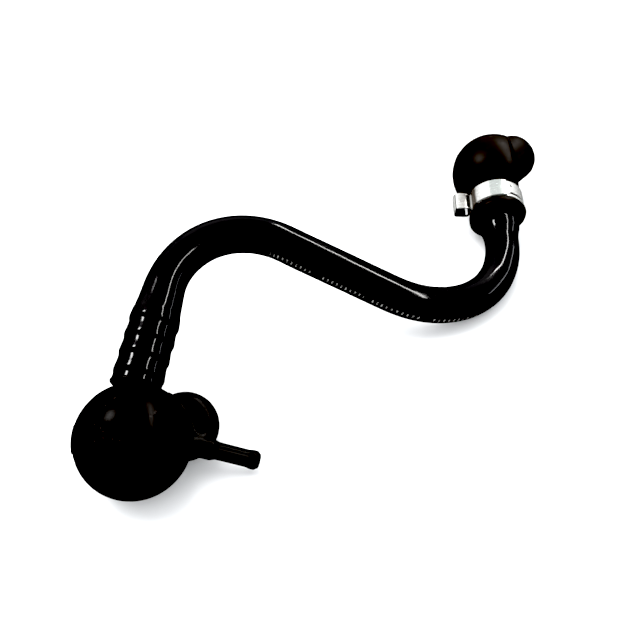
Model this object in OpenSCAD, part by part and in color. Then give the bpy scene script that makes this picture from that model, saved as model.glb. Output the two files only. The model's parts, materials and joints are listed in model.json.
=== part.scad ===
// Crankcase breather pipe: a bent plastic pipe with a diaphragm pressure
// regulating valve at its left end and a clamped rubber elbow at its right end.
// Frame: +Z up, the part rests on z = 0, +X runs from the valve to the elbow,
// +Y points to the rear. Millimetres. The origin is the middle of the footprint.

/* [Bent pipe] */
// Outside diameter of the pipe
pipe_od = 16; // [15.6:0.1:16.4]
// Wall thickness of the pipe
pipe_wall = 1.5; // [1.2:0.1:1.8]
// Straight length from the valve collar to the first pipe corner
first_run = 83.5; // [80:0.5:88]
// Second corner of the pipe, where the runs would meet if the bend were sharp
second_corner = [73.86, -21.22, -2.016];
// Point on the pipe axis at the mouth of the rubber elbow
mouth_point = [75.09, 51.47, 13.644];
// Bend radius of the first bend, to the pipe axis
bend_1 = 36; // [34:0.5:38]
// Bend radius of the second bend, to the pipe axis
bend_2 = 46; // [42:0.5:48]

/* [Valve placing] */
// Centre of the valve
valve_at = [-78.04, -87.42, 22.184];
// Heading of the valve neck, from +Y towards +X
neck_heading = 11.1; // [9:0.1:13]
// Rise of the valve neck above level
neck_rise = 21.3; // [19:0.1:23]
// Lean of the valve about its neck
valve_roll = 20; // [10:1:25]

/* [Valve] */
// Outside radius of the round cover
cover_r = 20.8; // [20.7:0.1:21]
// Wall of the round cover
cover_wall = 1.8; // [1.4:0.1:2]
// Outside radius of the valve body below its flange
body_r = 18.8; // [18.7:0.1:18.9]
// Depth of the body below the valve centre
body_depth = 16.3; // [16.2:0.1:16.6]
// Travel of the diaphragm plate from open to closed
plate_travel = 2.8; // [2:0.1:2.8]
// Sideways offset of the neck axis
neck_offset = -4.6; // [-5.5:0.1:-4]
// Depth of the neck axis below the valve centre
neck_depth = 10; // [9.9:0.1:10.1]

/* [Outlet and nipple] */
// Distance of the outlet lobe from the valve axis
lobe_out = 21; // [20.8:0.1:21.2]
// Direction of the outlet lobe, from the nipple direction towards the neck
lobe_turn = 36; // [35:1:38]
// Outside radius of the outlet lobe
lobe_r = 12.6; // [12.4:0.1:12.8]
// Radius of the outlet bore
outlet_r = 8; // [7.9:0.05:8.1]
// Outside radius of the nipple
nipple_r = 3.3; // [3.1:0.05:3.4]
// Distance of the nipple tip from the valve axis
nipple_tip = 46.5; // [44:0.5:50]

/* [Rubber elbow] */
// Outside radius of the ball of the elbow
ball_r = 19.9; // [19.6:0.1:20.4]
// Distance of the elbow mouth from the centre of the ball
mouth_out = 33.3; // [32.8:0.1:33.6]
// Radius of the retaining lip at the mouth
lip_r = 13.9; // [13.6:0.1:14.2]
// Heading of the elbow outlet, from +Y towards +X
outlet_heading = 41.8; // [38:0.2:46]
// Slant of the elbow's mouth
slant = 7.5; // [0:0.5:8]
// Radius of the bore of the elbow outlet
elbow_bore = 8.6; // [8.4:0.1:8.8]

/* [Ear clamp] */
// Width of the clamp band
band_w = 9.6; // [9:0.1:9.7]
// Thickness of the clamp band
band_t = 0.7; // [0.6:0.05:0.8]
// Height of the pinched ear above the band
ear_h = 8.3; // [7:0.1:9]

/* [Hidden] */
$fn = 72;
clear = 1;  // how far a cutter starts outside the face it opens

// ---- Helpers ----
function unit(v) = v / norm(v);
function reversed(points) = [for (i = [len(points) - 1:-1:0]) points[i]];
// Closes an outline that is symmetric about y = 0, given one half of it
function mirrored(half) = concat(half, reversed([for (p = half) [p[0], -p[1]]]));
// Matrix of a frame with the given origin and axes
function place(origin, x, y, z) = [
    [x[0], y[0], z[0], origin[0]],
    [x[1], y[1], z[1], origin[1]],
    [x[2], y[2], z[2], origin[2]],
    [0, 0, 0, 1]];
// A direction square to z
function any_side(z) = unit(cross(z, abs(z[2]) < 0.9 ? [0, 0, 1] : [1, 0, 0]));

// Puts z on the line between two points
module along(from, to) {
    z = unit(to - from);
    x = any_side(z);
    multmatrix(place(from, x, cross(z, x), z)) children();
}
module ring_plate(height, outer, bore) {
    difference() {
        cylinder(h = height, r = outer);
        translate([0, 0, -clear]) cylinder(h = height + 2 * clear, r = bore);
    }
}
module o_ring(major, minor) {
    rotate_extrude() translate([major, 0]) circle(minor, $fn = 32);
}

// ---- Valve frame: x along the nipple, y along the neck, z out through the cover ----
neck_dir = [cos(neck_rise) * sin(neck_heading), cos(neck_rise) * cos(neck_heading),
    sin(neck_rise)];
level_x = [cos(neck_heading), -sin(neck_heading), 0];
upright = cross(level_x, neck_dir);
axis_dir = cos(valve_roll) * upright + sin(valve_roll) * level_x;
side_dir = cross(neck_dir, axis_dir);
module in_valve() { multmatrix(place(valve_at, side_dir, neck_dir, axis_dir)) children(); }

// Neck: collar that the pipe stops on, then a fir-tree spigot
collar_y = 22.9;
barbs = [3.8, 11.1, 18.4, 25.7];   // barb crests, from the collar
neck_at = [neck_offset, 0, -neck_depth];
module neck_way() { translate(neck_at) rotate([-90, 0, 0]) children(); }

// Nipple
nipple_y = 4.9;
nipple_z = -4.6;
nipple_bore = 1.7;
module nipple_way() { translate([0, nipple_y, nipple_z]) rotate([0, 90, 0]) children(); }

// ---- Bent pipe ----
pipe_r = pipe_od / 2;
pipe_in = pipe_r - pipe_wall;
pipe_gap = 0.1;     // from the collar to the pipe's left end
pipe_stop = 15.6;   // from the ball's centre to the pipe's right end
left_len = 39;      // lengths of the two stretched ends
right_len = 28;
right_barbs = [4.6, 11.9, 19.2];   // barb crests, from the pipe's right end
stretched_wall = pipe_wall - 0.12;
lap = 0.6;          // a straight length runs this far into its neighbours
run_inset = 0.04;   // and lies this far under the wall's two faces

// Corners of the pipe axis
collar_face = valve_at + neck_offset * side_dir - neck_depth * axis_dir + collar_y * neck_dir;
pipe_start = collar_face + pipe_gap * neck_dir;
first_corner = collar_face + first_run * neck_dir;
last_run_dir = unit(mouth_point - second_corner);
ball_at = mouth_point + (mouth_out - 1) * last_run_dir;
pipe_end = ball_at - pipe_stop * last_run_dir;

function corner_angle(from, corner, to) = acos(unit(from - corner) * unit(to - corner));
// Point on the run towards "from" where the bend at the corner begins
function bend_start(from, corner, to, radius) =
    corner + unit(from - corner) * radius / tan(corner_angle(from, corner, to) / 2);

module straight_run(from, to) {
    along(from, to) translate([0, 0, -lap]) rotate_extrude()
        translate([pipe_in + run_inset, 0])
            square([pipe_wall - 2 * run_inset, norm(to - from) + 2 * lap]);
}
module pipe_bend(from, corner, to, radius) {
    angle = corner_angle(from, corner, to);
    centre = corner + unit(unit(from - corner) + unit(to - corner)) * radius / sin(angle / 2);
    x = unit(bend_start(from, corner, to, radius) - centre);
    z = unit(cross(x, bend_start(to, corner, from, radius) - centre));
    multmatrix(place(centre, x, cross(z, x), z))
        rotate_extrude(angle = 180 - angle) translate([radius, 0]) difference() {
            circle(pipe_r);
            circle(pipe_in);
        }
}

// The pipe's ends are stretched over barbs: each barb stands through the wall as
// a low ridge. Outlines are [radius, distance from the pipe's end].
function ridges(crests, low, top, fall) =
    [for (s = crests) each [[low, s - 1.4], [top, s], [low + 0.08, s + fall]]];
// mouth, low and top are radii of the bore; the smooth part joins outside to bore
module stretched_end(crests, mouth, low, top, fall, smooth) {
    wall = stretched_wall;
    rotate_extrude() polygon(concat(
        [[mouth + wall, 0]],
        ridges(crests, low + wall, top + wall, fall),
        smooth,
        reversed(ridges(crests, low, top, fall)),
        [[mouth, 0]]));
}
left_smooth = [[8.9, 30.6], [8.42, 33.4], [8.15, 35.6], [pipe_r, left_len],
    [pipe_in, left_len], [6.7, 34], [7.2, 31]];
right_smooth = [[8.6, 24.2], [8.3, 26], [pipe_r, right_len],
    [pipe_in, right_len], [pipe_in, 26.6], [6.9, 24.4]];

module bent_pipe() {
    color("#0c0c0d") {
        along(pipe_start, first_corner)
            stretched_end(barbs, mouth = 8.2, low = 8.18, top = 8.54, fall = 3.4,
                smooth = left_smooth);
        straight_run(pipe_start + left_len * neck_dir,
            bend_start(pipe_start, first_corner, second_corner, bend_1));
        pipe_bend(pipe_start, first_corner, second_corner, bend_1);
        straight_run(bend_start(second_corner, first_corner, pipe_start, bend_1),
            bend_start(first_corner, second_corner, pipe_end, bend_2));
        pipe_bend(first_corner, second_corner, pipe_end, bend_2);
        straight_run(bend_start(pipe_end, second_corner, first_corner, bend_2),
            pipe_end - right_len * last_run_dir);
        along(pipe_end, second_corner)
            stretched_end(right_barbs, mouth = 7.72, low = 7.7, top = 8.02, fall = 3,
                smooth = right_smooth);
    }
}

// ---- Valve body ----
// Heights along the valve axis
flange_z = -1;                     // face of the body's flange
diaphragm_t = 0.8;
diaphragm_top = flange_z + diaphragm_t;
floor_z = -body_depth + 1.7;       // floor of the chamber
root_z = floor_z - 0.4;            // walls in the chamber are rooted in its floor
pad_z = -3;                        // underside of the seat pad
seat_z = pad_z - plate_travel;     // crown of the outlet seat

flange_r = 20.2;
flange_low = -3.4;
chamber_r = 16.8;
tube_r = 5.4;                      // bore of the seat tube
neck_bore = 5;
spigot_r = 7.6;
spigot_groove = [collar_y + 1.2, collar_y + 3];
nipple_boss_r = 4.1;

// Outlet lobe, and the port in it
lobe_back = -15.8;
lobe_top = -2.4;
port_out = lobe_out + 1.6;
port_stop = -10.3;                 // shoulder at the inner end of the outlet bore
port_top = -5;
port_wall_top = -3.6;
port_groove_h = 1.9;
duct_w = 8.8;
duct_top = -7.9;
module at_lobe(out, z) {
    translate([out * cos(lobe_turn), out * sin(lobe_turn), z]) children();
}
// Box on the line from the valve axis to the lobe
module duct_box(width, low, high, near, far) {
    rotate(lobe_turn) translate([near, -width / 2, low]) cube([far - near, width, high - low]);
}

// Outlines of turned parts are [radius, place along the axis]
module body_cup() {
    rotate_extrude() polygon([[0, -body_depth], [15.4, -body_depth], [body_r, -body_depth + 3.2],
        [body_r, flange_low], [flange_r, flange_low], [flange_r, flange_z], [0, flange_z]]);
}
module lobe() {
    at_lobe(lobe_out, 0) rotate_extrude() polygon([
        [0, lobe_back], [lobe_r - 1.2, lobe_back], [lobe_r, lobe_back + 1.4],
        [lobe_r, lobe_top - 4], [lobe_r - 1, lobe_top - 2.2], [lobe_r - 3, lobe_top - 0.8],
        [lobe_r - 6, lobe_top], [0, lobe_top]]);
}
module neck() {
    barb_r = 8.5;
    groove_r = 6.6;
    neck_way() rotate_extrude() polygon(concat(
        [[0, 14], [6.3, 14], [6.3, 21.2], [9.5, 21.6], [10, 22.1], [10, collar_y],
            [spigot_r, collar_y], [spigot_r, spigot_groove[0]], [groove_r, spigot_groove[0]],
            [groove_r, spigot_groove[1]], [spigot_r, spigot_groove[1]]],
        [for (s = barbs) each [[spigot_r, collar_y + s - 0.3], [barb_r, collar_y + s],
            [spigot_r, collar_y + s + 3.2]]],
        [[6.2, collar_y + 30], [0, collar_y + 30]]));
}
module nipple() {
    nipple_way() rotate_extrude() polygon([
        [0, 18], [nipple_boss_r, 18], [nipple_boss_r, 28.4], [nipple_r, 30.4],
        [nipple_r, nipple_tip - 4.4], [3.6, nipple_tip - 3.4], [3.6, nipple_tip - 1.4],
        [2.7, nipple_tip], [0, nipple_tip]]);
}
module chamber_walls() {
    // tube that carries the outlet seat
    rotate_extrude() polygon([[0, root_z], [7, root_z], [7, seat_z - 0.7],
        [6.5, seat_z], [0, seat_z]]);
    // duct from the tube, and the port wall
    duct_box(width = 11.2, low = root_z, high = -7, near = 1, far = 15.5);
    intersection() {
        translate([0, 0, root_z]) cylinder(h = port_wall_top - root_z, r = 17.6);
        at_lobe(port_out, root_z) cylinder(h = port_wall_top - root_z, r = outlet_r + 1.8);
    }
}
module body_bores() {
    neck_way() translate([0, 0, 12]) cylinder(h = 60, r = neck_bore);
    // recess of the back plate, and the seat tube
    translate([0, 0, -body_depth - clear]) cylinder(h = 0.9 + clear, r = 8.65);
    translate([0, 0, -body_depth - clear]) cylinder(h = 20, r = tube_r);
    duct_box(width = duct_w, low = floor_z, high = duct_top, near = 3, far = 14.4);
    // outlet bore, its ring groove and the narrower port above
    at_lobe(port_out, lobe_back - 3) cylinder(h = port_stop - lobe_back + 3, r = outlet_r);
    at_lobe(port_out, port_stop - port_groove_h) cylinder(h = port_groove_h, r = outlet_r + 0.95);
    at_lobe(port_out, port_stop - 0.1) cylinder(h = port_top - port_stop + 0.1, r = outlet_r - 0.9);
    duct_box(width = duct_w, low = port_stop, high = duct_top, near = 12, far = 20);
    nipple_way() translate([0, 0, 22]) cylinder(h = 40, r = nipple_bore);
}
module valve_body() {
    color("#141416") in_valve() difference() {
        union() {
            difference() {
                union() {
                    body_cup();
                    lobe();
                    neck();
                    nipple();
                }
                translate([0, 0, floor_z]) cylinder(h = 20, r = chamber_r);
            }
            chamber_walls();
        }
        body_bores();
        // the nipple's boss stops at the flange face, under the diaphragm
        translate([0, 0, flange_z]) cylinder(h = 4, r = 20.6);
        // room for the cover's skirt over the lobe
        translate([0, 0, -3.8]) rotate_extrude() translate([flange_r, 0]) square([0.9, 6]);
    }
}

// ---- Valve cover: a ball-shaped dome with a skirt that snaps over the flange ----
skirt_r = 20.75;
cover_low = -4.3;                              // lower end of the lugs and hooks
lug_spans = [[179, 66], [270, 62], [132, 34]]; // [start, sweep] about the valve axis
vent_r = 1.6;
module vent_way() { rotate([0, 0, 60]) rotate([0, 80, 0]) children(); }
module dome(radius, low) {
    intersection() {
        sphere(radius, $fn = 96);
        translate([0, 0, low]) cylinder(h = 40, r = 30);
    }
}
module on_lug_spans() {
    for (span = lug_spans) rotate(span[0]) rotate_extrude(angle = span[1]) children();
}
module cover_shell() {
    socket_low = -4.8;
    difference() {
        union() {
            dome(cover_r, diaphragm_top);
            translate([0, 0, -3.6]) cylinder(h = 5, r = skirt_r);
            on_lug_spans() polygon([[20.5, cover_low], [21.2, cover_low], [21.2, -0.6],
                [skirt_r, -0.3], [20.5, -0.3]]);
        }
        dome(cover_r - cover_wall, 1.2);
        translate([0, 0, diaphragm_top - 0.1]) cylinder(h = 2, r = chamber_r);
        // socket for the flange and the diaphragm's rim
        translate([0, 0, socket_low]) cylinder(h = diaphragm_top - socket_low, r = flange_r + 0.05);
        vent_way() translate([0, 0, 15]) cylinder(h = 10, r = vent_r);
        // notch in the skirt over the nipple's boss
        nipple_way() translate([0, 0, 16]) cylinder(h = 8, r = nipple_boss_r + 0.2);
    }
}
module cover_hooks() {
    on_lug_spans() polygon([[19.6, cover_low], [20.6, cover_low], [20.6, -3.5], [19.9, -3.5]]);
}
module valve_cover() {
    color("#161618") in_valve() cover_shell();
    color("#161618") in_valve() cover_hooks();
}
module vent_plug() {
    color("#8c8478") in_valve() vent_way() translate([0, 0, cover_r - cover_wall])
        cylinder(h = cover_wall - 0.2, r = vent_r);
}

// ---- Moving parts of the valve ----
plate_r = 11;
stem_r = 2.4;
module diaphragm() {
    color("#1d1d1f") in_valve() rotate_extrude() polygon([
        // upper face, from the rim over the roll to the middle hole
        [20.1, flange_z], [20.1, diaphragm_top], [16.6, diaphragm_top], [15.9, 2.2], [15, 3],
        [13.7, 3], [12.8, 2.2], [12.5, diaphragm_top], [11.3, diaphragm_top],
        // lower face, back outwards
        [11.3, flange_z], [13.1, flange_z], [13.4, 1.9], [13.9, 2.4], [14.8, 2.4],
        [15.3, 1.9], [15.9, flange_z]]);
}
module diaphragm_plate() {
    low = -0.1;
    stem_low = -4.8;
    color("#b9bcc0") in_valve() {
        rotate_extrude() polygon([[0, low], [stem_r, low], [plate_r, low], [plate_r, 1],
            [8.8, 1], [8.2, 0.9], [3.4, 0.9], [2.8, 1.5], [0, 1.5]]);
        translate([0, 0, stem_low]) cylinder(h = 5, r = stem_r);
    }
}
module lower_plate() {
    color("#b9bcc0") in_valve() translate([0, 0, -2.2])
        ring_plate(height = 1.1, outer = plate_r, bore = stem_r + 0.02);
}
module seat_pad() {
    color("#232326") in_valve() translate([0, 0, pad_z])
        ring_plate(height = 0.78, outer = 8.2, bore = stem_r + 0.04);
}
module stem_push_nut() {
    color("#9a9da2") in_valve() translate([0, 0, -3.6])
        ring_plate(height = 0.58, outer = 4.7, bore = stem_r + 0.02);
}

// Coil spring inside the seat tube, wound as a chain of eight-sided rings
spring_turns = 5.5;
spring_steps = 104;
wire_sides = 8;
wire_r = 0.36;
coil_r = 3.95;
spring_low = -13.55;
spring_high = -3.68;
end_share = 0.16;   // share of the winding in each close-wound end
end_rise = 0.09;    // share of the height that each end climbs
function coil_rise(f) =
    f < end_share ? f / end_share * end_rise
    : f > 1 - end_share ? 1 - end_rise + (f - 1 + end_share) / end_share * end_rise
    : end_rise + (f - end_share) / (1 - 2 * end_share) * (1 - 2 * end_rise);
function coil_z(step) = spring_low + wire_r
    + (spring_high - spring_low - 2 * wire_r) * coil_rise(step / spring_steps);
coil_points = [for (k = [0:spring_steps])
    let(turn = 360 * spring_turns * k / spring_steps)
    for (j = [0:wire_sides - 1])
        let(around = 360 / wire_sides * j, r = coil_r + wire_r * cos(around))
        [r * cos(turn), r * sin(turn), coil_z(k) + wire_r * sin(around)]];
coil_faces = concat(
    [[for (j = [0:wire_sides - 1]) j]],
    [for (k = [0:spring_steps - 1]) for (j = [0:wire_sides - 1])
        let(a = k * wire_sides + j, b = k * wire_sides + (j + 1) % wire_sides)
        each [[a, a + wire_sides, b], [b, a + wire_sides, b + wire_sides]]],
    [[for (j = [wire_sides - 1:-1:0]) spring_steps * wire_sides + j]]);
module regulator_spring() {
    color("#8e9196") in_valve() polyhedron(points = coil_points, faces = coil_faces);
}

// ---- Small fixed parts of the valve ----
module back_plate() {
    plug_low = -body_depth + 0.4;
    plug_top = -13.6;
    color("#18181a") in_valve() {
        translate([0, 0, -body_depth]) cylinder(h = 0.85, r = 8.6);
        translate([0, 0, plug_low]) cylinder(h = plug_top - plug_low, r = tube_r - 0.05);
    }
}
module outlet_o_ring() {
    color("#7a3b1e") in_valve() at_lobe(port_out, port_stop - port_groove_h / 2)
        o_ring(major = outlet_r + 0.2, minor = 0.72);
}
module spigot_o_ring() {
    color("#7a3b1e") in_valve() neck_way()
        translate([0, 0, (spigot_groove[0] + spigot_groove[1]) / 2])
            o_ring(major = 7.4, minor = 0.75);
}
module nipple_restrictor() {
    color("#c9a24a") in_valve() nipple_way() translate([0, 0, nipple_tip - 9])
        ring_plate(height = 4, outer = nipple_bore, bore = 0.6);
}

// ---- Elbow end ----
module pipe_insert() {
    root_r = 7;
    color("#2b2b2e") along(pipe_end, second_corner) difference() {
        rotate_extrude() polygon(concat(
            [[0, -1.4], [9.1, -1.4], [9.1, -0.05], [root_r, -0.05]],
            [for (s = right_barbs) each [[root_r, s - 0.3], [7.98, s], [root_r, s + 2.8]]],
            [[6.3, 23.2], [0, 23.2]]));
        translate([0, 0, -3]) cylinder(h = 30, r = 5.2);
    }
}

outlet_dir = [sin(outlet_heading), cos(outlet_heading), 0];
mouth_dir = -last_run_dir;
turn_dir = unit(mouth_dir + outlet_dir);   // inside of the turn
flank_dir = unit([0.94, -0.02, 0.33]);     // right flank of the ball
outlet_outer = 11.9;                       // outside radius of the outlet
outlet_mid = 18.6;                         // where its rounding starts
mouth_neck_r = 12.2;                       // under the clamp
big = 60;                                  // width of the blocks that cut flats

module from_ball(direction) { along(ball_at, ball_at + direction) children(); }
// z towards the mouth, x to the left, y down
module mouth_frame() {
    x = unit(cross(mouth_dir, [0, 0, 1]));
    multmatrix(place(ball_at, x, cross(mouth_dir, x), mouth_dir)) children();
}
// The ball is cut flat on the inside of the turn, between the mouth and the outlet,
// and on the flank that the outlet grows from
module cut_ball(radius, flat) {
    difference() {
        from_ball(turn_dir) rotate_extrude($fn = 96) intersection() {
            circle(radius, $fn = 96);
            translate([0, -radius - 1]) square([radius + 1, radius + 1 + flat]);
        }
        from_ball(flank_dir) translate([-big / 2, -big / 2, flat]) cube([big, big, 30]);
    }
}
module elbow_mouth() {
    from_ball(mouth_dir) rotate_extrude() polygon([
        [0, 8], [mouth_neck_r, 8], [mouth_neck_r, 26.5], [lip_r - 0.6, 26.5], [lip_r, 27.1],
        [lip_r, mouth_out - 2.2], [lip_r - 0.8, mouth_out - 0.7], [lip_r - 2.2, mouth_out],
        [0, mouth_out]]);
}
module elbow_outlet() {
    from_ball(outlet_dir) rotate_extrude() polygon(concat(
        [[0, 4], [outlet_outer, 4]],
        [for (a = [0:7.5:30]) [outlet_outer * cos(a), outlet_mid + outlet_outer * sin(a)]],
        [[0, outlet_mid + outlet_outer / 2]]));
}
module rubber_elbow() {
    color("#101011") difference() {
        union() {
            cut_ball(ball_r, flat = 12);
            elbow_mouth();
            elbow_outlet();
        }
        cut_ball(16.3, flat = 8.2);
        from_ball(mouth_dir) translate([0, 0, 10]) cylinder(h = 30, r = 9.45);
        from_ball(outlet_dir) translate([0, 0, 8]) cylinder(h = 30, r = elbow_bore);
        from_ball(outlet_dir) translate([0, 0, 6]) cylinder(h = 8.1, r = elbow_bore + 0.6);
        // the mouth is cut slanting, shorter on the side of the outlet
        mouth_frame() translate([0, 0, mouth_out - 2]) rotate([0, -slant, 0])
            translate([-big / 2, -big / 2, 0]) cube([big, big, 20]);
    }
}

// ---- Ear clamp ----
clamp_out = 16.7;   // from the ball's centre to the band
band_in = 12.25;
band_out = band_in + band_t;
slot_w = 1.5;
module clamp_band() {
    difference() {
        cylinder(h = band_w, r = band_out);
        translate([0, 0, -clear]) cylinder(h = band_w + 2 * clear, r = band_in);
        // guide slot of the tongue
        rotate(-164) translate([0, 0, band_w * 0.68 - slot_w / 2]) rotate_extrude(angle = 50)
            translate([band_in - 1, 0]) square([4, slot_w]);
    }
    // second layer, where the band overlaps itself
    rotate(-102) rotate_extrude(angle = 89) translate([band_out - 0.05, 0])
        square([band_t, band_w]);
}
// Pinched loop that stands out along x
module clamp_ear() {
    root = band_in + band_t / 2;
    top = band_out + ear_h;
    linear_extrude(height = band_w) difference() {
        polygon(mirrored([[root, -2.1], [root + 0.9, -1.8], [root + 1.9, -3],
            [top - 0.8, -3.2], [top, -2.3]]));
        polygon(mirrored([[root + 0.5, -2.1 + band_t], [root + 1.2, -1.8 + band_t],
            [root + 2.3, -3 + band_t], [top - 1.1, -3.2 + band_t], [top - band_t, -1.9]]));
    }
}
module ear_clamp() {
    color("#c8cacc") mouth_frame() translate([0, 0, clamp_out]) {
        clamp_band();
        clamp_ear();
    }
}

bent_pipe();
valve_body();
valve_cover();
vent_plug();
diaphragm();
diaphragm_plate();
lower_plate();
seat_pad();
stem_push_nut();
regulator_spring();
back_plate();
outlet_o_ring();
spigot_o_ring();
nipple_restrictor();
pipe_insert();
rubber_elbow();
ear_clamp();
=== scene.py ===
"""Breather line: a regulator valve with a domed cover, a bent nylon pipe with
ridged ends, and a rubber elbow held by a steel ear clamp.

The line lies above a floor at z = 0. The pipe leaves the valve's neck, turns
twice and ends in the elbow's mouth. Shapes are in millimetres, and each piece
is drawn in its own frame and then placed; the scene itself is in metres.
"""
import bpy, json, math
import numpy as np
from functools import reduce
from itertools import product
from mathutils import Vector, Matrix


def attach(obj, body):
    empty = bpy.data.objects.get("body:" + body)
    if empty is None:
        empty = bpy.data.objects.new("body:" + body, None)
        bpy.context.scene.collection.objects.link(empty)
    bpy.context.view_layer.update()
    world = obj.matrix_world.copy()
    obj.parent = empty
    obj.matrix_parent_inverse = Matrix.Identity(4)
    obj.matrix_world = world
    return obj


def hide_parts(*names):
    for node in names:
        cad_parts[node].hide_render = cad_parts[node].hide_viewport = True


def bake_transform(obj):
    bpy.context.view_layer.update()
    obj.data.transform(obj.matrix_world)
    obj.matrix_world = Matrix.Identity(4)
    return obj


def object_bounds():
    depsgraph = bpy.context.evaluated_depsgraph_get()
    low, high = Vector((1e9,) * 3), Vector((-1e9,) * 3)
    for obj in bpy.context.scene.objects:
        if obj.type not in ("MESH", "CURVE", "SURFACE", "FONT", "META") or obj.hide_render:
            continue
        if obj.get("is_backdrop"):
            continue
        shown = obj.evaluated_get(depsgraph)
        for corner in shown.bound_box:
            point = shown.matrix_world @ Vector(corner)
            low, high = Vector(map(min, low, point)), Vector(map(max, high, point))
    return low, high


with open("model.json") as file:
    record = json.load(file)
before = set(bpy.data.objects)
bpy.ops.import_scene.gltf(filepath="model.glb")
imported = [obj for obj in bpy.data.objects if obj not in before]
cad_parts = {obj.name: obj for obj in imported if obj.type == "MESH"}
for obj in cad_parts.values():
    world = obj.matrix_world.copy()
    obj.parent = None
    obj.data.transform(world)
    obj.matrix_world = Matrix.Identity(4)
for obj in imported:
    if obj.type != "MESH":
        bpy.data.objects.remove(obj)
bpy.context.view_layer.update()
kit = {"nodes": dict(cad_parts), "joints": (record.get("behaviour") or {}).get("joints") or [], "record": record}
MM = 0.001
ROOT, MOVING = "breather_line", "diaphragm_set"
CAMERA = (-0.01184, -0.26142, 0.249684)     # metres

# ------------------------------------------------------------------ frames
# The valve's axes come from its joint and nipple, the elbow's from its outlet.

# In the valve's frame x runs along the nipple, y along the neck and z to the dome.
NIPPLE_END, NIPPLE_Y, NIPPLE_DROP = 44.1, 4.9, 4.6
NECK_BACK, NECK_DROP = 4.6, 10      # the neck's axis, against x and z
COLLAR_Y = 22.9                     # the collar's face, where the pipe starts
PIPE_GAP = 0.1
FIRST_CORNER_Y = 83.5               # from the collar
OUTLET_REACH = 24.55                # ball centre to the elbow's outlet
PIPE_SHORT = 15.6                   # ball centre to the pipe's end
CLAMP_OUT = 16.7                    # ball centre to the clamp's inner edge


def unit(vector):
    vector = np.array(vector, float)
    return vector / np.linalg.norm(vector)


mount = {entry["name"]: entry for entry in kit["record"]["mounts"]}
nipple, outlet = mount["hose_nipple"], mount["elbow_outlet"]
VALVE_Z = -unit(kit["joints"][0]["axis"])
VALVE_X = unit(nipple["axis"])
VALVE_X = unit(VALVE_X - VALVE_Z * (VALVE_X @ VALVE_Z))
VALVE_Y = np.cross(VALVE_Z, VALVE_X)
VALVE = (np.array(nipple["pos_m"]) * 1000 - NIPPLE_END * VALVE_X
         - NIPPLE_Y * VALVE_Y + NIPPLE_DROP * VALVE_Z)
OUT = unit(outlet["axis"])
BALL = np.array(outlet["pos_m"]) * 1000 - OUTLET_REACH * OUT

# The pipe's axis runs from its start through two corners to its end.
COLLAR = VALVE - NECK_BACK * VALVE_X - NECK_DROP * VALVE_Z + COLLAR_Y * VALVE_Y
PIPE_START = COLLAR + PIPE_GAP * VALVE_Y
CORNER_1 = COLLAR + FIRST_CORNER_Y * VALVE_Y
CORNER_2 = np.array([73.86, -21.22, -2.016])
LAST_RUN = unit(BALL - CORNER_2)
PIPE_END = BALL - PIPE_SHORT * LAST_RUN

# The elbow's and the clamp's z point out of the elbow's mouth, along the pipe.
MOUTH = -LAST_RUN
MOUTH_X = unit(np.cross(MOUTH, [0, 0, 1]))
MOUTH_Y = np.cross(MOUTH, MOUTH_X)
VALVE_FRAME = (VALVE, VALVE_X, VALVE_Y, VALVE_Z)
ELBOW_FRAME = (BALL, MOUTH_X, MOUTH_Y, MOUTH)
CLAMP_FRAME = (BALL + CLAMP_OUT * MOUTH, MOUTH_X, MOUTH_Y, MOUTH)


def placed(points, frame):
    """Points of a piece's frame (origin, x, y, z) in the scene's frame."""
    origin, x, y, z = frame
    points = np.asarray(points, float)
    return origin + points[:, :1] * x + points[:, 1:2] * y + points[:, 2:3] * z


# ------------------------------------------------------------------ meshes


def new_object(name, points, faces):
    mesh = bpy.data.meshes.new(name)
    mesh.from_pydata((np.asarray(points) * MM).tolist(), [], faces)
    mesh.validate()
    piece = bpy.data.objects.new(name, mesh)
    bpy.context.scene.collection.objects.link(piece)
    mesh.polygons.foreach_set("use_smooth", [True] * len(mesh.polygons))
    mesh.update()
    return piece


def set_uv(mesh, coords):
    layer = mesh.uv_layers.new(name="UVMap")
    layer.data.foreach_set("uv", np.array(coords, np.float32).ravel())


COARSE = 4          # fine cells along the side of a coarse block
NET_STEPS = 4       # moves of each vertex towards the surface
PROBE = 0.02        # half the distance over which the slope is measured
PART, STEP_PART = 200000, 100000    # points worked on at a time
CUBE = list(product((0, 1), repeat=3))
UNITS = np.eye(3, dtype=int)


def in_parts(work, points, most):
    parts = np.array_split(points, max(1, len(points) // most))
    return np.concatenate([work(part) for part in parts])


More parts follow.
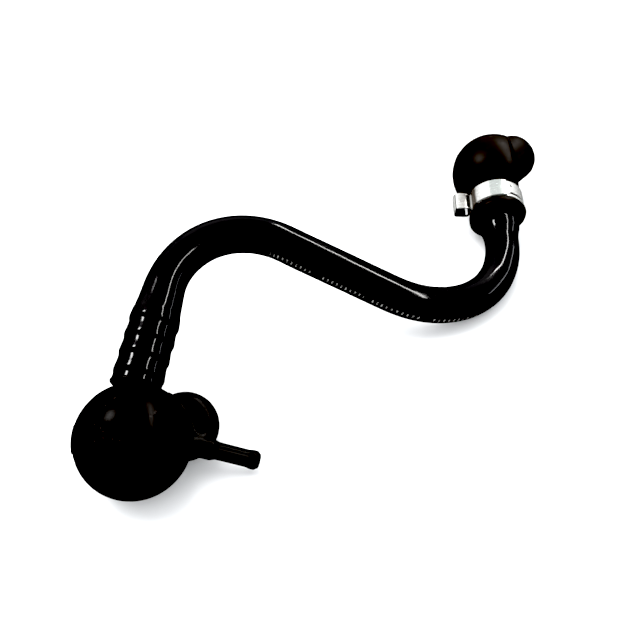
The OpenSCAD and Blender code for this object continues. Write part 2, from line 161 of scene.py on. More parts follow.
def surface_net(distance, low, high, cell):
    """A closed quad mesh of distance = 0 inside the box: one vertex in each
    crossed cell, then moved onto the surface along the gradient."""
    low, high = np.array(low, float), np.array(high, float)
    size = np.ceil((high - low) / (cell * COARSE)).astype(int) * COARSE + 1
    axes = [(low[i] + cell * np.arange(size[i]))[::COARSE] for i in range(3)]
    points = np.stack(np.meshgrid(*axes, indexing="ij"), -1).reshape(-1, 3)
    field = in_parts(distance, points, PART).reshape([len(axis) for axis in axes])

    # blocks near the surface are evaluated finely, the rest keep the coarse sign
    near = np.abs(field) < cell * COARSE * 1.9
    busy = np.zeros([len(axis) - 1 for axis in axes], bool)
    for i, j, k in CUBE:
        busy |= near[i:i + busy.shape[0], j:j + busy.shape[1], k:k + busy.shape[2]]
    for axis in range(3):
        field = np.repeat(field, COARSE, axis)
    field = field[:size[0], :size[1], :size[2]].astype(float)
    steps = [np.arange(COARSE + 1)] * 3
    offsets = np.stack(np.meshgrid(*steps, indexing="ij"), -1).reshape(-1, 3)
    index = (np.argwhere(busy)[:, None, :] * COARSE + offsets[None]).reshape(-1, 3)
    fine = np.zeros(size, bool)
    fine[tuple(index.T)] = True
    field[fine] = in_parts(distance, low + np.argwhere(fine) * cell, PART)

    # a cell is crossed when some of its corners are inside and some are not
    inside = field < 0
    count = sum(inside[i:size[0] - 1 + i, j:size[1] - 1 + j, k:size[2] - 1 + k].astype(np.int8)
                for i, j, k in CUBE)
    crossed = (count > 0) & (count < 8)
    cells = np.argwhere(crossed)
    ids = -np.ones(crossed.shape, np.int64)
    ids[crossed] = np.arange(len(cells))

    # each vertex starts at the mean of its cell's crossed edges
    total = np.zeros((len(cells), 3))
    hits = np.zeros(len(cells))
    for corner, axis in product(CUBE, range(3)):
        if corner[axis]:
            continue
        start = cells + np.array(corner)
        here = field[tuple(start.T)]
        there = field[tuple((start + UNITS[axis]).T)]
        cut = (here < 0) != (there < 0)
        share = np.where(cut, here / np.where(cut, here - there, 1), 0)
        total[cut] += (start + share[:, None] * UNITS[axis])[cut]
        hits += cut
    points = low + cell * total / hits[:, None]

    # each crossed grid edge joins the four cells round it
    quads = []
    for axis in range(3):
        side_1, side_2 = UNITS[(axis + 1) % 3], UNITS[(axis + 2) % 3]
        window = [slice(1, length - 1) for length in size]
        window[axis] = slice(0, size[axis] - 1)
        first = inside[tuple(window)]
        window[axis] = slice(1, size[axis])
        edges = np.argwhere(first != inside[tuple(window)])
        base = edges + side_1 + side_2
        around = (base - side_1 - side_2, base - side_2, base, base - side_1)
        quad = np.stack([ids[tuple(corner.T)] for corner in around], 1)
        flip = ~first[tuple(edges.T)]
        quad[flip] = quad[flip][:, ::-1]
        quads.append(quad)

    def moved(part):
        slope = np.stack([distance(part + PROBE * axis) - distance(part - PROBE * axis)
                          for axis in np.eye(3)], -1) / (2 * PROBE)
        steepness = np.maximum((slope ** 2).sum(-1), 0.05)
        move = -(distance(part) / steepness)[:, None] * slope
        length = np.linalg.norm(move, axis=1)
        move *= np.minimum(1, 0.35 * cell / np.maximum(length, 1e-9))[:, None]
        return part + move

    for _ in range(NET_STEPS):
        points = in_parts(moved, points, STEP_PART)
    return points, np.concatenate(quads).tolist()


# ------------------------------------------------------------------ solids
# Each gives signed distances in millimetres, negative inside.


def join(first, second, blend):
    """Both solids, with a fillet between them."""
    near = np.maximum(blend - np.abs(first - second), 0) / blend
    return np.minimum(first, second) - near * near * blend * 0.25


def meet(first, second, blend):
    """What two solids share, its new edges rounded."""
    return -join(-first, -second, blend)


def carve(solid, cutter, blend):
    return meet(solid, -cutter, blend)


def either(*solids):
    return reduce(np.minimum, solids)


def shared(*solids):
    return reduce(np.maximum, solids)


def polygon(x, y, corners):
    corners = np.asarray(corners, float)
    nearest = np.full(x.shape, 1e18)
    sign = np.ones(x.shape)
    for here, last in zip(corners, np.roll(corners, 1, 0)):
        edge_x, edge_y = last - here
        from_x, from_y = x - here[0], y - here[1]
        share = (from_x * edge_x + from_y * edge_y) / (edge_x * edge_x + edge_y * edge_y)
        share = np.clip(share, 0, 1)
        off_x, off_y = from_x - edge_x * share, from_y - edge_y * share
        nearest = np.minimum(nearest, off_x * off_x + off_y * off_y)
        above, below = y >= here[1], y < last[1]
        left = edge_x * from_y > edge_y * from_x
        sign = np.where((above & below & left) | (~above & ~below & ~left), -sign, sign)
    return sign * np.sqrt(nearest)


def turned(pos, profile, rounding=0.0):
    """A solid of revolution about z, from a closed (radius, height) profile."""
    return polygon(np.hypot(pos[:, 0], pos[:, 1]), pos[:, 2], profile) - rounding


def rounded(across, along, rounding):
    """The overlap of two slabs at right angles, its corners rounded."""
    across, along = across + rounding, along + rounding
    outside = np.hypot(np.maximum(across, 0), np.maximum(along, 0))
    return np.minimum(np.maximum(across, along), 0) + outside - rounding


def rod(pos, radius, low, high, rounding=0.0):
    """A round bar along z, from low to high."""
    along = np.abs(pos[:, 2] - (low + high) / 2) - (high - low) / 2
    return rounded(np.hypot(pos[:, 0], pos[:, 1]) - radius, along, rounding)


def box(pos, low, high, rounding):
    low, high = np.array(low, float), np.array(high, float)
    over = np.abs(pos - (low + high) / 2) - (high - low) / 2 + rounding
    outside = np.linalg.norm(np.maximum(over, 0), axis=1)
    return np.minimum(over.max(1), 0) + outside - rounding


def spin(pos, degrees):
    """Positions seen from axes turned by that angle about z."""
    angle = math.radians(degrees)
    cos, sin = math.cos(angle), math.sin(angle)
    return np.stack([cos * pos[:, 0] + sin * pos[:, 1],
                     -sin * pos[:, 0] + cos * pos[:, 1], pos[:, 2]], 1)


def moulding(name, distance, low, high, cell, frame):
    points, quads = surface_net(distance, low, high, cell)
    return new_object(name, placed(points, frame), quads)


# ------------------------------------------------------------------ material tools


class Nodes:
    """A small helper for node trees."""

    def __init__(self, tree):
        self.tree = tree

    def node(self, kind, **settings):
        node = self.tree.nodes.new(kind)
        for key, value in settings.items():
            if key in node.inputs:
                node.inputs[key].default_value = value
            else:
                setattr(node, key, value)
        return node

    def link(self, output, socket):
        self.tree.links.new(output, socket)

    def feed(self, value, socket):
        if isinstance(value, (int, float, tuple)):
            socket.default_value = value
        else:
            self.link(value, socket)

    def remap(self, value, span, to=(0, 1)):
        keys = ("From Min", "From Max", "To Min", "To Max")
        node = self.node("ShaderNodeMapRange", **dict(zip(keys, (*span, *to))))
        self.link(value, node.inputs["Value"])
        return node.outputs["Result"]

    def math(self, operation, *values):
        node = self.node("ShaderNodeMath", operation=operation)
        for i, value in enumerate(values):
            self.feed(value, node.inputs[i])
        return node.outputs[0]

    def mix(self, factor, first, second, kind="Color"):
        node = self.node("ShaderNodeMix", data_type="RGBA" if kind == "Color" else "FLOAT")
        inputs = {socket.identifier: socket for socket in node.inputs}
        outputs = {socket.identifier: socket for socket in node.outputs}
        self.feed(factor, inputs["Factor_Float"])
        self.feed(first, inputs["A_" + kind])
        self.feed(second, inputs["B_" + kind])
        return outputs["Result_" + kind]


class Material(Nodes):
    def __init__(self, name, **inputs):
        self.data = bpy.data.materials.new(name)
        self.data.use_nodes = True
        super().__init__(self.data.node_tree)
        self.shader = self.tree.nodes["Principled BSDF"]
        for key, value in inputs.items():
            self.shader.inputs[key.replace("_", " ")].default_value = value
        self.texture = self.node("ShaderNodeTexCoord")
        self.normal = None

    def coords(self, scale=(1, 1, 1), source="Object", turn=(0, 0, 0)):
        node = self.node("ShaderNodeMapping", Scale=scale, Rotation=turn)
        self.link(self.texture.outputs[source], node.inputs["Vector"])
        return node.outputs["Vector"]

    def noise(self, scale, detail, rough, vector=None):
        node = self.node("ShaderNodeTexNoise", Scale=scale, Detail=detail, Roughness=rough)
        self.link(self.coords() if vector is None else vector, node.inputs["Vector"])
        return node.outputs["Fac"]

    def streaks(self, stretch, detail, rough, source="Object", turn=(0, 0, 0)):
        """Noise with its own scale along each axis."""
        return self.noise(1.0, detail, rough, self.coords(stretch, source, turn))

    def colour(self, value):
        self.link(value, self.shader.inputs["Base Color"])

    def rough(self, value):
        self.link(value, self.shader.inputs["Roughness"])

    def bump(self, height, distance, strength):
        """Add relief, its distance in metres, over any relief already there."""
        node = self.node("ShaderNodeBump", Strength=strength, Distance=distance)
        self.link(height, node.inputs["Height"])
        if self.normal is not None:
            self.link(self.normal, node.inputs["Normal"])
        self.normal = node.outputs["Normal"]
        self.link(self.normal, self.shader.inputs["Normal"])

    def edge(self):
        """1 on worn edges, 0 on flat faces."""
        node = self.node("ShaderNodeNewGeometry")
        return self.remap(node.outputs["Pointiness"], span=(0.52, 0.605))


def rgb(red, green=None, blue=None):
    return (red, red if green is None else green, red if blue is None else blue, 1.0)


# ------------------------------------------------------------------ materials

# the printed row, in turns round the pipe and metres along it
PRINT_HALF_WIDTH = 0.019
DASH_PITCH, DASH_SHARE = 0.0021, 0.33
GROUP_PITCH, GROUP_SHARE = 0.0245, 0.84
PRINT_FROM, PRINT_TO = 0.098, 0.206


def pipe_print(mat, angle, run, print_angle):
    """A worn row of plain short dashes along one side."""
    offset = mat.math("ABSOLUTE", mat.math("SUBTRACT", angle, print_angle))
    side = mat.math("LESS_THAN", offset, PRINT_HALF_WIDTH)

    def repeated(pitch, share):
        phase = mat.math("FRACT", mat.math("MULTIPLY", run, 1 / pitch))
        return mat.math("LESS_THAN", phase, share)

    dash = repeated(DASH_PITCH, DASH_SHARE)
    group = repeated(GROUP_PITCH, GROUP_SHARE)
    dash = mat.math("MULTIPLY", mat.math("MULTIPLY", dash, group), side)
    span = mat.math("MULTIPLY", mat.math("GREATER_THAN", run, PRINT_FROM),
                    mat.math("LESS_THAN", run, PRINT_TO))
    worn = mat.remap(mat.noise(700, detail=5, rough=0.75), span=(0.42, 0.62), to=(0.1, 1))
    return mat.math("MULTIPLY", mat.math("MULTIPLY", dash, span), worn)


def pipe_material(print_angle):
    """Glossy black nylon with haze, dust and scuffs."""
    mat = Material("pipe_nylon", Specular_IOR_Level=0.17, IOR=1.5)
    coords = mat.coords(source="UV")
    split = mat.node("ShaderNodeSeparateXYZ")
    mat.link(coords, split.inputs[0])
    # extrusion lines change round the pipe and hardly along it
    lines = mat.streaks((60, 4, 1), detail=3, rough=0.6, source="UV")
    peel = mat.noise(260, detail=2, rough=0.5)
    haze = mat.noise(55, detail=5, rough=0.65)
    dust = mat.noise(2600, detail=2, rough=0.7)
    scuff = mat.streaks((900, 90, 420), detail=4, rough=0.7, turn=(0.3, 0.5, 0.9))
    scuff = mat.remap(scuff, span=(0.63, 0.72))
    ink = pipe_print(mat, split.outputs[0], split.outputs[1], print_angle)
    black = mat.mix(mat.remap(haze, span=(0.3, 0.75)),
                    rgb(0.0035, 0.0035, 0.0042), rgb(0.007, 0.0068, 0.0072))
    dusty = mat.mix(mat.remap(dust, span=(0.7, 0.78), to=(0, 0.35)),
                    black, rgb(0.06, 0.06, 0.058))
    mat.colour(mat.mix(ink, dusty, rgb(0.23, 0.23, 0.22)))
    rough = mat.remap(haze, span=(0.3, 0.7), to=(0.055, 0.115))
    for mark, extra in ((scuff, 0.1), (ink, 0.3)):
        rough = mat.math("ADD", rough, mat.math("MULTIPLY", mark, extra))
    mat.rough(rough)
    mat.bump(lines, distance=0.00003, strength=0.25)
    mat.bump(peel, distance=0.00006, strength=0.18)
    mat.bump(dust, distance=0.00001, strength=0.12)
    return mat.data


def moulded(name, dark, light, rough, grain, grain_depth, grain_strength,
            sheen=0.0, specular=0.085):
    """Matt moulded plastic or rubber: fine grain, soft flow marks, lighter
    worn edges and faint dust."""
    mat = Material(name, Specular_IOR_Level=specular)
    fine = mat.noise(grain, detail=3, rough=0.6)
    flow = mat.streaks((70, 120, 260), detail=5, rough=0.6)
    patch = mat.noise(45, detail=4, rough=0.6)
    speck = mat.remap(mat.noise(4200, detail=2, rough=0.6), span=(0.74, 0.84), to=(0, 0.3))
    scratch = mat.streaks((1500, 110, 500), detail=3, rough=0.7, turn=(0.5, 0.2, 0.7))
    scratch = mat.remap(scratch, span=(0.66, 0.74))
    base = mat.mix(mat.remap(patch, span=(0.3, 0.7)), dark, light)
    worn = tuple(min(1, part * 2.6 + 0.012) for part in light[:3]) + (1.0,)
    base = mat.mix(mat.math("MULTIPLY", mat.edge(), 0.55), base, worn)
    base = mat.mix(mat.math("MULTIPLY", scratch, 0.25), base, worn)
    mat.colour(mat.mix(speck, base, worn))
    shine = mat.remap(flow, span=(0.3, 0.7), to=rough)
    blotch = mat.math("MULTIPLY", mat.remap(patch, span=(0.4, 0.7)), 0.06)
    mat.rough(mat.math("ADD", shine, blotch))
    mat.bump(flow, distance=0.00006, strength=0.2)
    mat.bump(fine, distance=grain_depth, strength=grain_strength)
    mat.bump(scratch, distance=0.00001, strength=0.3)
    if sheen:
        mat.shader.inputs["Sheen Weight"].default_value = sheen
        mat.shader.inputs["Sheen Roughness"].default_value = 0.4
        mat.shader.inputs["Sheen Tint"].default_value = rgb(0.9, 0.82, 0.72)
    return mat.data


# painted reflections on the clamp: middle and half widths in metres round it, strength, colour
CLAMP_PAINTED_REFLECTIONS = (
    (0.0213, (0.0034, 0.0042), 0.75, rgb(0.34, 0.38, 0.36)),    # grey-green painted reflection, over the top
    (0.0346, (0.0018, 0.0030), 0.92, rgb(0.06, 0.042, 0.026)),  # brown painted shade and dark reflection, beside the ear
)


def clamp_painted_light(mat, colour, blot):
    """Painted reflections round the band, and painted shade inside the pinched ear."""
    split = mat.node("ShaderNodeSeparateXYZ")
    mat.link(mat.texture.outputs["UV"], split.inputs[0])
    wander = mat.math("MULTIPLY", mat.math("SUBTRACT", blot, 0.5), 0.0012)
    wander = mat.math("ADD", split.outputs[0], wander)
    for middle, widths, strength, tint in CLAMP_PAINTED_REFLECTIONS:
        zone = mat.math("ABSOLUTE", mat.math("SUBTRACT", wander, middle))
        colour = mat.mix(mat.remap(zone, span=widths, to=(strength, 0)), colour, tint)
    inside = mat.node("ShaderNodeAttribute", attribute_name="ear_inside")
    # painted shade: near-black colour inside the pinched ear
    painted_ear_shade = mat.math("MULTIPLY", inside.outputs["Fac"], 0.96)
    return mat.mix(painted_ear_shade, colour, rgb(0.012, 0.011, 0.010))


def strip_steel(name, base, lines, source, rough, metal=1.0):
    """Rolled stainless strip: fine lines along it, faint stains and handling marks; on the clamp also painted
    reflections round the band and painted shade inside the ear.
    """
    mat = Material(name, Metallic=metal)
    line = mat.streaks(lines, detail=4, rough=0.7, source=source)
    blot = mat.noise(240, detail=5, rough=0.6)
    fleck = mat.remap(mat.noise(1500, detail=3, rough=0.6), span=(0.62, 0.75))
    dark = rgb(*[part * 0.72 for part in base])
    stain = rgb(base[0] * 0.62, base[1] * 0.6, base[2] * 0.55)
    fade = mat.math("MULTIPLY", mat.remap(line, span=(0.3, 0.7)), 0.35)
    colour = mat.mix(fade, rgb(*base), dark)
    fade = mat.math("MULTIPLY", mat.remap(blot, span=(0.5, 0.75)), 0.35)
    colour = mat.mix(fade, colour, stain)
    colour = mat.mix(mat.math("MULTIPLY", fleck, 0.3), colour, rgb(0.25, 0.24, 0.22))
    # the clamp's colour gets painted reflections and painted shade
    if source == "UV":
        colour = clamp_painted_light(mat, colour, blot)
    mat.colour(colour)
    shine = mat.remap(line, span=(0.3, 0.7), to=rough)
    mat.rough(mat.math("ADD", shine, mat.math("MULTIPLY", fleck, 0.15)))
    mat.bump(line, distance=0.00001, strength=0.35)
    mat.bump(blot, distance=0.00004, strength=0.12)
    mat.shader.inputs["Anisotropic"].default_value = 0.35
    return mat.data


def bronze():
    """Sintered bronze: small packed grains."""
    mat = Material("vent_bronze", Metallic=0.85)
    grains = mat.node("ShaderNodeTexVoronoi", Scale=5200.0)
    mat.link(mat.coords(), grains.inputs["Vector"])
    depth = grains.outputs["Distance"]
    # darker away from each grain's middle: painted shade in the pores between the grains
    mat.colour(mat.mix(mat.remap(depth, span=(0.1, 0.6)),
                       rgb(0.32, 0.22, 0.12), rgb(0.06, 0.045, 0.03)))
    mat.rough(mat.remap(depth, span=(0, 0.6), to=(0.35, 0.75)))
    mat.bump(mat.math("SUBTRACT", 1.0, depth), distance=0.0001, strength=0.8)
    return mat.data


def brass():
    mat = Material("restrictor_brass", Metallic=1.0)
    line = mat.streaks((2600, 300, 300), detail=3, rough=0.6)
    mat.colour(mat.mix(mat.remap(line, span=(0.3, 0.7)),
                       rgb(0.78, 0.56, 0.24), rgb(0.5, 0.34, 0.13)))
    mat.rough(mat.remap(line, span=(0.3, 0.7), to=(0.2, 0.42)))
    mat.bump(line, distance=0.00001, strength=0.4)
    return mat.data


# ------------------------------------------------------------------ bent pipe

BEND_1, BEND_2 = 36, 46             # bend radii of the axis
FINE_START, FINE_END = 39, 28       # closely stepped lengths at the ends
FINE, MEDIUM, WIDE = 0.3, 1.0, 1.5  # steps along straights
ARC_STEP = 1.0
PIPE_SIDES = 112
BORE_EVERY = 3                      # the bore keeps every third ring
OVAL = 0.016                        # flattening in the bends
BARBS = (3.8, 11.1, 18.4, 25.7)     # ridge crests, from the collar
ELBOW_RIDGES = (4.6, 11.9, 19.2)    # ridge crests, from the elbow end
PRINT_LIFT = math.radians(39)       # the print row, from the lower side to the camera


def ridges(crests, top, low, fall, rise=1.4):
    stations = []
    for crest in crests:
        stations += [(crest - rise, low), (crest, top), (crest + fall, low + 0.08)]
    return stations


# (distance from that end, radius)
OUTER_AT_VALVE = [(0, 9.58)] + ridges(BARBS, 9.96, 9.44, 3.8, 1.7) + [
    (30.4, 9.22), (34.5, 8.8), (40, 8.45), (47, 8.15), (55, 8.0)]
OUTER_AT_ELBOW = [(0, 9.1)] + ridges(ELBOW_RIDGES, 9.5, 9.08, 3, 1.5) + [
    (24.2, 8.6), (26, 8.3), (28, 8.0)]
BORE_AT_VALVE = [(0, 8.2)] + ridges(BARBS, 8.54, 8.18, 3.4) + [
    (31, 7.2), (34, 6.7), (39, 6.5)]
BORE_AT_ELBOW = [(0, 7.72)] + ridges(ELBOW_RIDGES, 8.02, 7.7, 3) + [
    (24.4, 6.9), (26.6, 6.5), (28, 6.5)]


def straight(start, end, step):
    count = max(2, int(round(np.linalg.norm(end - start) / step)))
    return start + (end - start) * np.arange(count)[:, None] / count


def arc_at(before, corner, after, radius):
    """Start, end and points of the arc that rounds a corner."""
    back, ahead = unit(before - corner), unit(after - corner)
    opening = math.acos(back @ ahead)
    centre = corner + unit(back + ahead) * radius / math.sin(opening / 2)
    reach = radius / math.tan(opening / 2)
    start, end = corner + back * reach, corner + ahead * reach
    first = unit(start - centre)
    second = np.cross(unit(np.cross(first, end - centre)), first)
    count = int(radius * (math.pi - opening) / ARC_STEP)
    angle = (np.arange(count) / count * (math.pi - opening))[:, None]
    return start, end, centre + radius * (first * np.cos(angle) + second * np.sin(angle))


def centre_line():
    """Points of the pipe's axis, the length so far, and 1 where it bends."""
    start_1, end_1, bend_1 = arc_at(PIPE_START, CORNER_1, CORNER_2, BEND_1)
    start_2, end_2, bend_2 = arc_at(CORNER_1, CORNER_2, PIPE_END, BEND_2)
    fine_to = PIPE_START + FINE_START * VALVE_Y
    fine_from = PIPE_END - FINE_END * LAST_RUN
    parts = [
        (straight(PIPE_START, fine_to, FINE), 0.0),
        (straight(fine_to, start_1, MEDIUM), 0.0),
        (bend_1, 1.0),
        (straight(end_1, start_2, WIDE), 0.0),
        (bend_2, 1.0),
        (straight(end_2, fine_from, MEDIUM), 0.0),
        (straight(fine_from, PIPE_END, FINE), 0.0),
        (PIPE_END[None], 0.0),
    ]
    points = np.concatenate([part for part, _ in parts])
    bent = np.concatenate([np.full(len(part), flag) for part, flag in parts])
    steps = np.linalg.norm(np.diff(points, axis=0), axis=1)
    return points, np.concatenate([[0], np.cumsum(steps)]), bent


def soften(values, run, width):
    """Values at uneven places, averaged with a bell of that width."""
    grid = np.arange(run[0], run[-1], 0.1)
    reach = np.arange(-4 * width, 4 * width + 0.05, 0.1)
    weights = np.exp(-(reach / width) ** 2 / 2)
    weights /= weights.sum()
    padded = np.pad(np.interp(grid, run, values), len(reach) // 2, mode="edge")
    return np.interp(run, grid, np.convolve(padded, weights, mode="valid")[:len(grid)])


def radius_along(run, at_valve, at_elbow):
    stations = at_valve + [(run[-1] - place, radius) for place, radius in reversed(at_elbow)]
    return np.interp(run, *zip(*stations))


def transport(points):
    """Tangents and two side directions that turn as little as possible."""
    tangent = np.gradient(points, axis=0)
    tangent /= np.linalg.norm(tangent, axis=1)[:, None]
    side = np.zeros_like(tangent)
    side[0] = unit(np.cross(tangent[0], [0, 0, 1]))
    for i in range(1, len(tangent)):
        side[i] = unit(side[i - 1] - tangent[i] * (side[i - 1] @ tangent[i]))
    return tangent, side, np.cross(tangent, side)


def bend_phase(tangent, side, other, bent):
    """Which way each bend turns, held along the straights, and the middle
    point of the straight between the bends."""
    curve = np.gradient(tangent, axis=0)
    phase = np.arctan2((curve * other).sum(1), (curve * side).sum(1))
    for i in range(1, len(phase)):
        if bent[i] == 0:
            phase[i] = phase[i - 1]
    in_bend = np.flatnonzero(bent > 0)
    first, last = in_bend[0], in_bend[-1]
    phase[:first] = phase[first]
    phase[last:] = phase[last - 1]
    between = np.flatnonzero(bent[:last] == 0)
    between = between[between > first]
    middle = between[len(between) // 2]
    phase[between[between > middle]] = phase[between[-1] + 2]
    return phase, middle


def print_turn(point, tangent, side, other):
    """Where the print row sits, in turns: on the lower side facing the camera."""
    view = unit(np.array(CAMERA) / MM - point)
    low = unit(np.cross(tangent, view))
    low = low if low[2] < 0 else -low
    facing = unit(low * math.cos(PRINT_LIFT) + view * math.sin(PRINT_LIFT))
    return (math.atan2(facing @ other, facing @ side) / (2 * math.pi)) % 1.0


def pipe_wobble(run, angle):
    """Slight unevenness: a sum of random waves along and round the pipe."""
    rng = np.random.default_rng(7)
    wobble = np.zeros((len(run), len(angle)))
    for _ in range(14):
        along = rng.uniform(0.02, 0.09)
        around = rng.integers(1, 4)
        phase = rng.uniform(0, 6.28)
        height = rng.uniform(0.004, 0.012)
        wave = along * 2 * math.pi * run[:, None] + around * angle[None] + phase
        wobble += height * np.sin(wave)
    return wobble


def build_pipe():
    """The pipe, and where its print row sits."""
    points, run, bent = centre_line()
    outer = soften(radius_along(run, OUTER_AT_VALVE, OUTER_AT_ELBOW), run, 0.42)
    bore = radius_along(run, BORE_AT_VALVE, BORE_AT_ELBOW)
    tangent, side, other = transport(points)
    phase, middle = bend_phase(tangent, side, other, bent)
    print_angle = print_turn(points[middle], tangent[middle], side[middle], other[middle])

    # each ridge at the valve end sits a little unevenly round the pipe
    angle = np.arange(PIPE_SIDES) / PIPE_SIDES * 2 * math.pi
    near_end = np.clip((36 - run) / 4, 0, 1)[:, None]
    shift = 0.22 * np.sin(angle[None] + 0.7) + 0.12 * np.sin(2 * angle[None] + run[:, None] * 0.31)
    radius = np.interp(run[:, None] + shift * near_end, run, outer)
    # the section flattens across each bend
    oval = soften(bent, run, 4.0) * OVAL
    radius = radius * (1 - oval[:, None] * np.cos(2 * (angle[None] - phase[:, None])))
    radius += pipe_wobble(run, angle)

    spokes = (side[:, None, :] * np.cos(angle)[None, :, None]
              + other[:, None, :] * np.sin(angle)[None, :, None])
    outside = points[:, None, :] + radius[:, :, None] * spokes
    # the bore has the same number of sides, so the rims close exactly
    rows = len(run)
    kept = np.unique(np.concatenate([np.arange(0, rows, BORE_EVERY), [rows - 1]]))
    inside = points[kept][:, None, :] + bore[kept][:, None, None] * spokes[kept]

    faces, coords = [], []

    def quad(ring_1, ring_2, run_1, run_2, j, outward):
        """A face between two rings, on side j of the pipe."""
        near, far = (j, j + 1) if outward else (j + 1, j)
        corners = ((ring_1, near, run_1), (ring_1, far, run_1),
                   (ring_2, far, run_2), (ring_2, near, run_2))
        faces.append([ring * PIPE_SIDES + turn % PIPE_SIDES for ring, turn, _ in corners])
        coords.extend((turn / PIPE_SIDES, place * MM) for _, turn, place in corners)

    for i, j in product(range(rows - 1), range(PIPE_SIDES)):
        quad(i, i + 1, run[i], run[i + 1], j, True)
    for i, j in product(range(len(kept) - 1), range(PIPE_SIDES)):
        quad(rows + i, rows + i + 1, run[kept[i]], run[kept[i + 1]], j, False)
    for j in range(PIPE_SIDES):
        quad(0, rows, 0, 0, j, False)
        quad(rows - 1, rows + len(kept) - 1, run[-1], run[-1], j, True)
    corners = np.concatenate([outside.reshape(-1, 3), inside.reshape(-1, 3)])
    pipe = new_object("bent_pipe_body", corners, faces)
    set_uv(pipe.data, coords)
    return pipe, print_angle


# ------------------------------------------------------------------ valve body
# Profiles are (radius, height) along their own axis.

CAN = [(0, -15.5), (14.9, -15.5), (18.0, -12.5), (18.0, -2.2), (0, -2.2)]
FLANGE = [(0, -3.1), (19.9, -3.1), (19.9, -1.3), (0, -1.3)]
CENTRE_TUBE = [(0, -15.0), (6.9, -15.0), (6.9, -6.6), (6.5, -6.14), (0, -6.14)]
PORT_LEAD_IN = [(0, -16), (8.9, -15.6), (7.6, -13.9), (0, -13.9)]
BACK_GROOVE = [(10.3, -18), (13.9, -18), (13.9, -15.75), (10.3, -15.75)]
COLLAR_RIM = [(0, 21.9), (9.3, 22.0), (9.65, 22.3), (9.65, 22.55), (0, 22.55)]
NIPPLE = [(0, 14), (3.85, 14), (3.85, 28.2), (3.1, 30.3), (3.1, 42.1),
          (3.4, 43.2), (3.4, 45.0), (2.5, 46.3), (0, 46.3)]
SPIGOT = [(0, 22.0), (7.4, 22.0), (7.4, 24.1), (6.4, 24.3), (6.4, 25.8), (7.4, 26.0)]
for crest in BARBS:
    SPIGOT += [(7.4, COLLAR_Y + crest - 0.35), (8.35, COLLAR_Y + crest),
               (8.3, COLLAR_Y + crest + 0.25), (7.4, COLLAR_Y + crest + 3.2)]
SPIGOT += [(6.0, COLLAR_Y + 29.8), (0, COLLAR_Y + 29.8)]

LOBE_ANGLE = 36.0           # degrees from x
LOBE_OUT, PORT_OUT = 21.0, 22.6
CAVITY_RADIUS = 16.8        # the same in the body and the cover
WEBS = 9                    # webs of the back groove in half a turn


def in_neck(pos):
    return np.stack([pos[:, 0] + NECK_BACK, -(pos[:, 2] + NECK_DROP), pos[:, 1]], 1)


def in_nipple(pos):
    return np.stack([pos[:, 1] - NIPPLE_Y, pos[:, 2] + NIPPLE_DROP, pos[:, 0]], 1)


def in_lobe(pos, out):
    angle = math.radians(LOBE_ANGLE)
    return pos - np.array([out * math.cos(angle), out * math.sin(angle), 0])


def body_outside(pos):
    solid = join(turned(pos, CAN, 0.8), turned(pos, FLANGE, 0.3), 0.7)
    from_lobe = in_lobe(pos, LOBE_OUT)
    lobe = rod(from_lobe, 12.6, -28, -2.4, 5.6)
    lobe = meet(lobe, -15.8 - from_lobe[:, 2], 2.0)
    solid = join(solid, lobe, 3.2)
    from_neck = in_neck(pos)
    solid = join(solid, rod(from_neck, 6.3, 2, 22.2, 0.3), 3.4)
    # gussets on two sides carry the neck
    x, y, z = from_neck.T
    gussets = shared(np.abs(x) - 0.9, -(z - 10), z - 21.6, np.abs(y) - 9.2 + 0.12 * (z - 12))
    solid = join(solid, gussets, 1.2)
    solid = join(solid, turned(from_neck, COLLAR_RIM, 0.33), 1.0)
    solid = either(solid, turned(from_neck, SPIGOT, 0.15))
    from_nipple = in_nipple(pos)
    solid = join(solid, turned(from_nipple, NIPPLE, 0.2), 1.8)
    # a thin rib under the nipple
    x, y, z = from_nipple.T
    rib = shared(np.abs(x) - 0.7, z - 27.6 - 0.6 * y, -y - 8.5, y - 1, 16 - z)
    return join(solid, rib, 0.9)


def back_pockets(pos, port):
    """Shallow pockets between webs, on the face away from the cover."""
    turn = np.arctan2(pos[:, 1], pos[:, 0])
    web = np.abs((turn * WEBS / math.pi + 0.5) % 1 - 0.5) * math.pi / WEBS
    web = web * np.hypot(pos[:, 0], pos[:, 1])
    pockets = meet(turned(pos, BACK_GROOVE, 0.25), 0.55 - web, 0.5)
    return shared(pockets, 10.6 - np.hypot(port[:, 0], port[:, 1]))


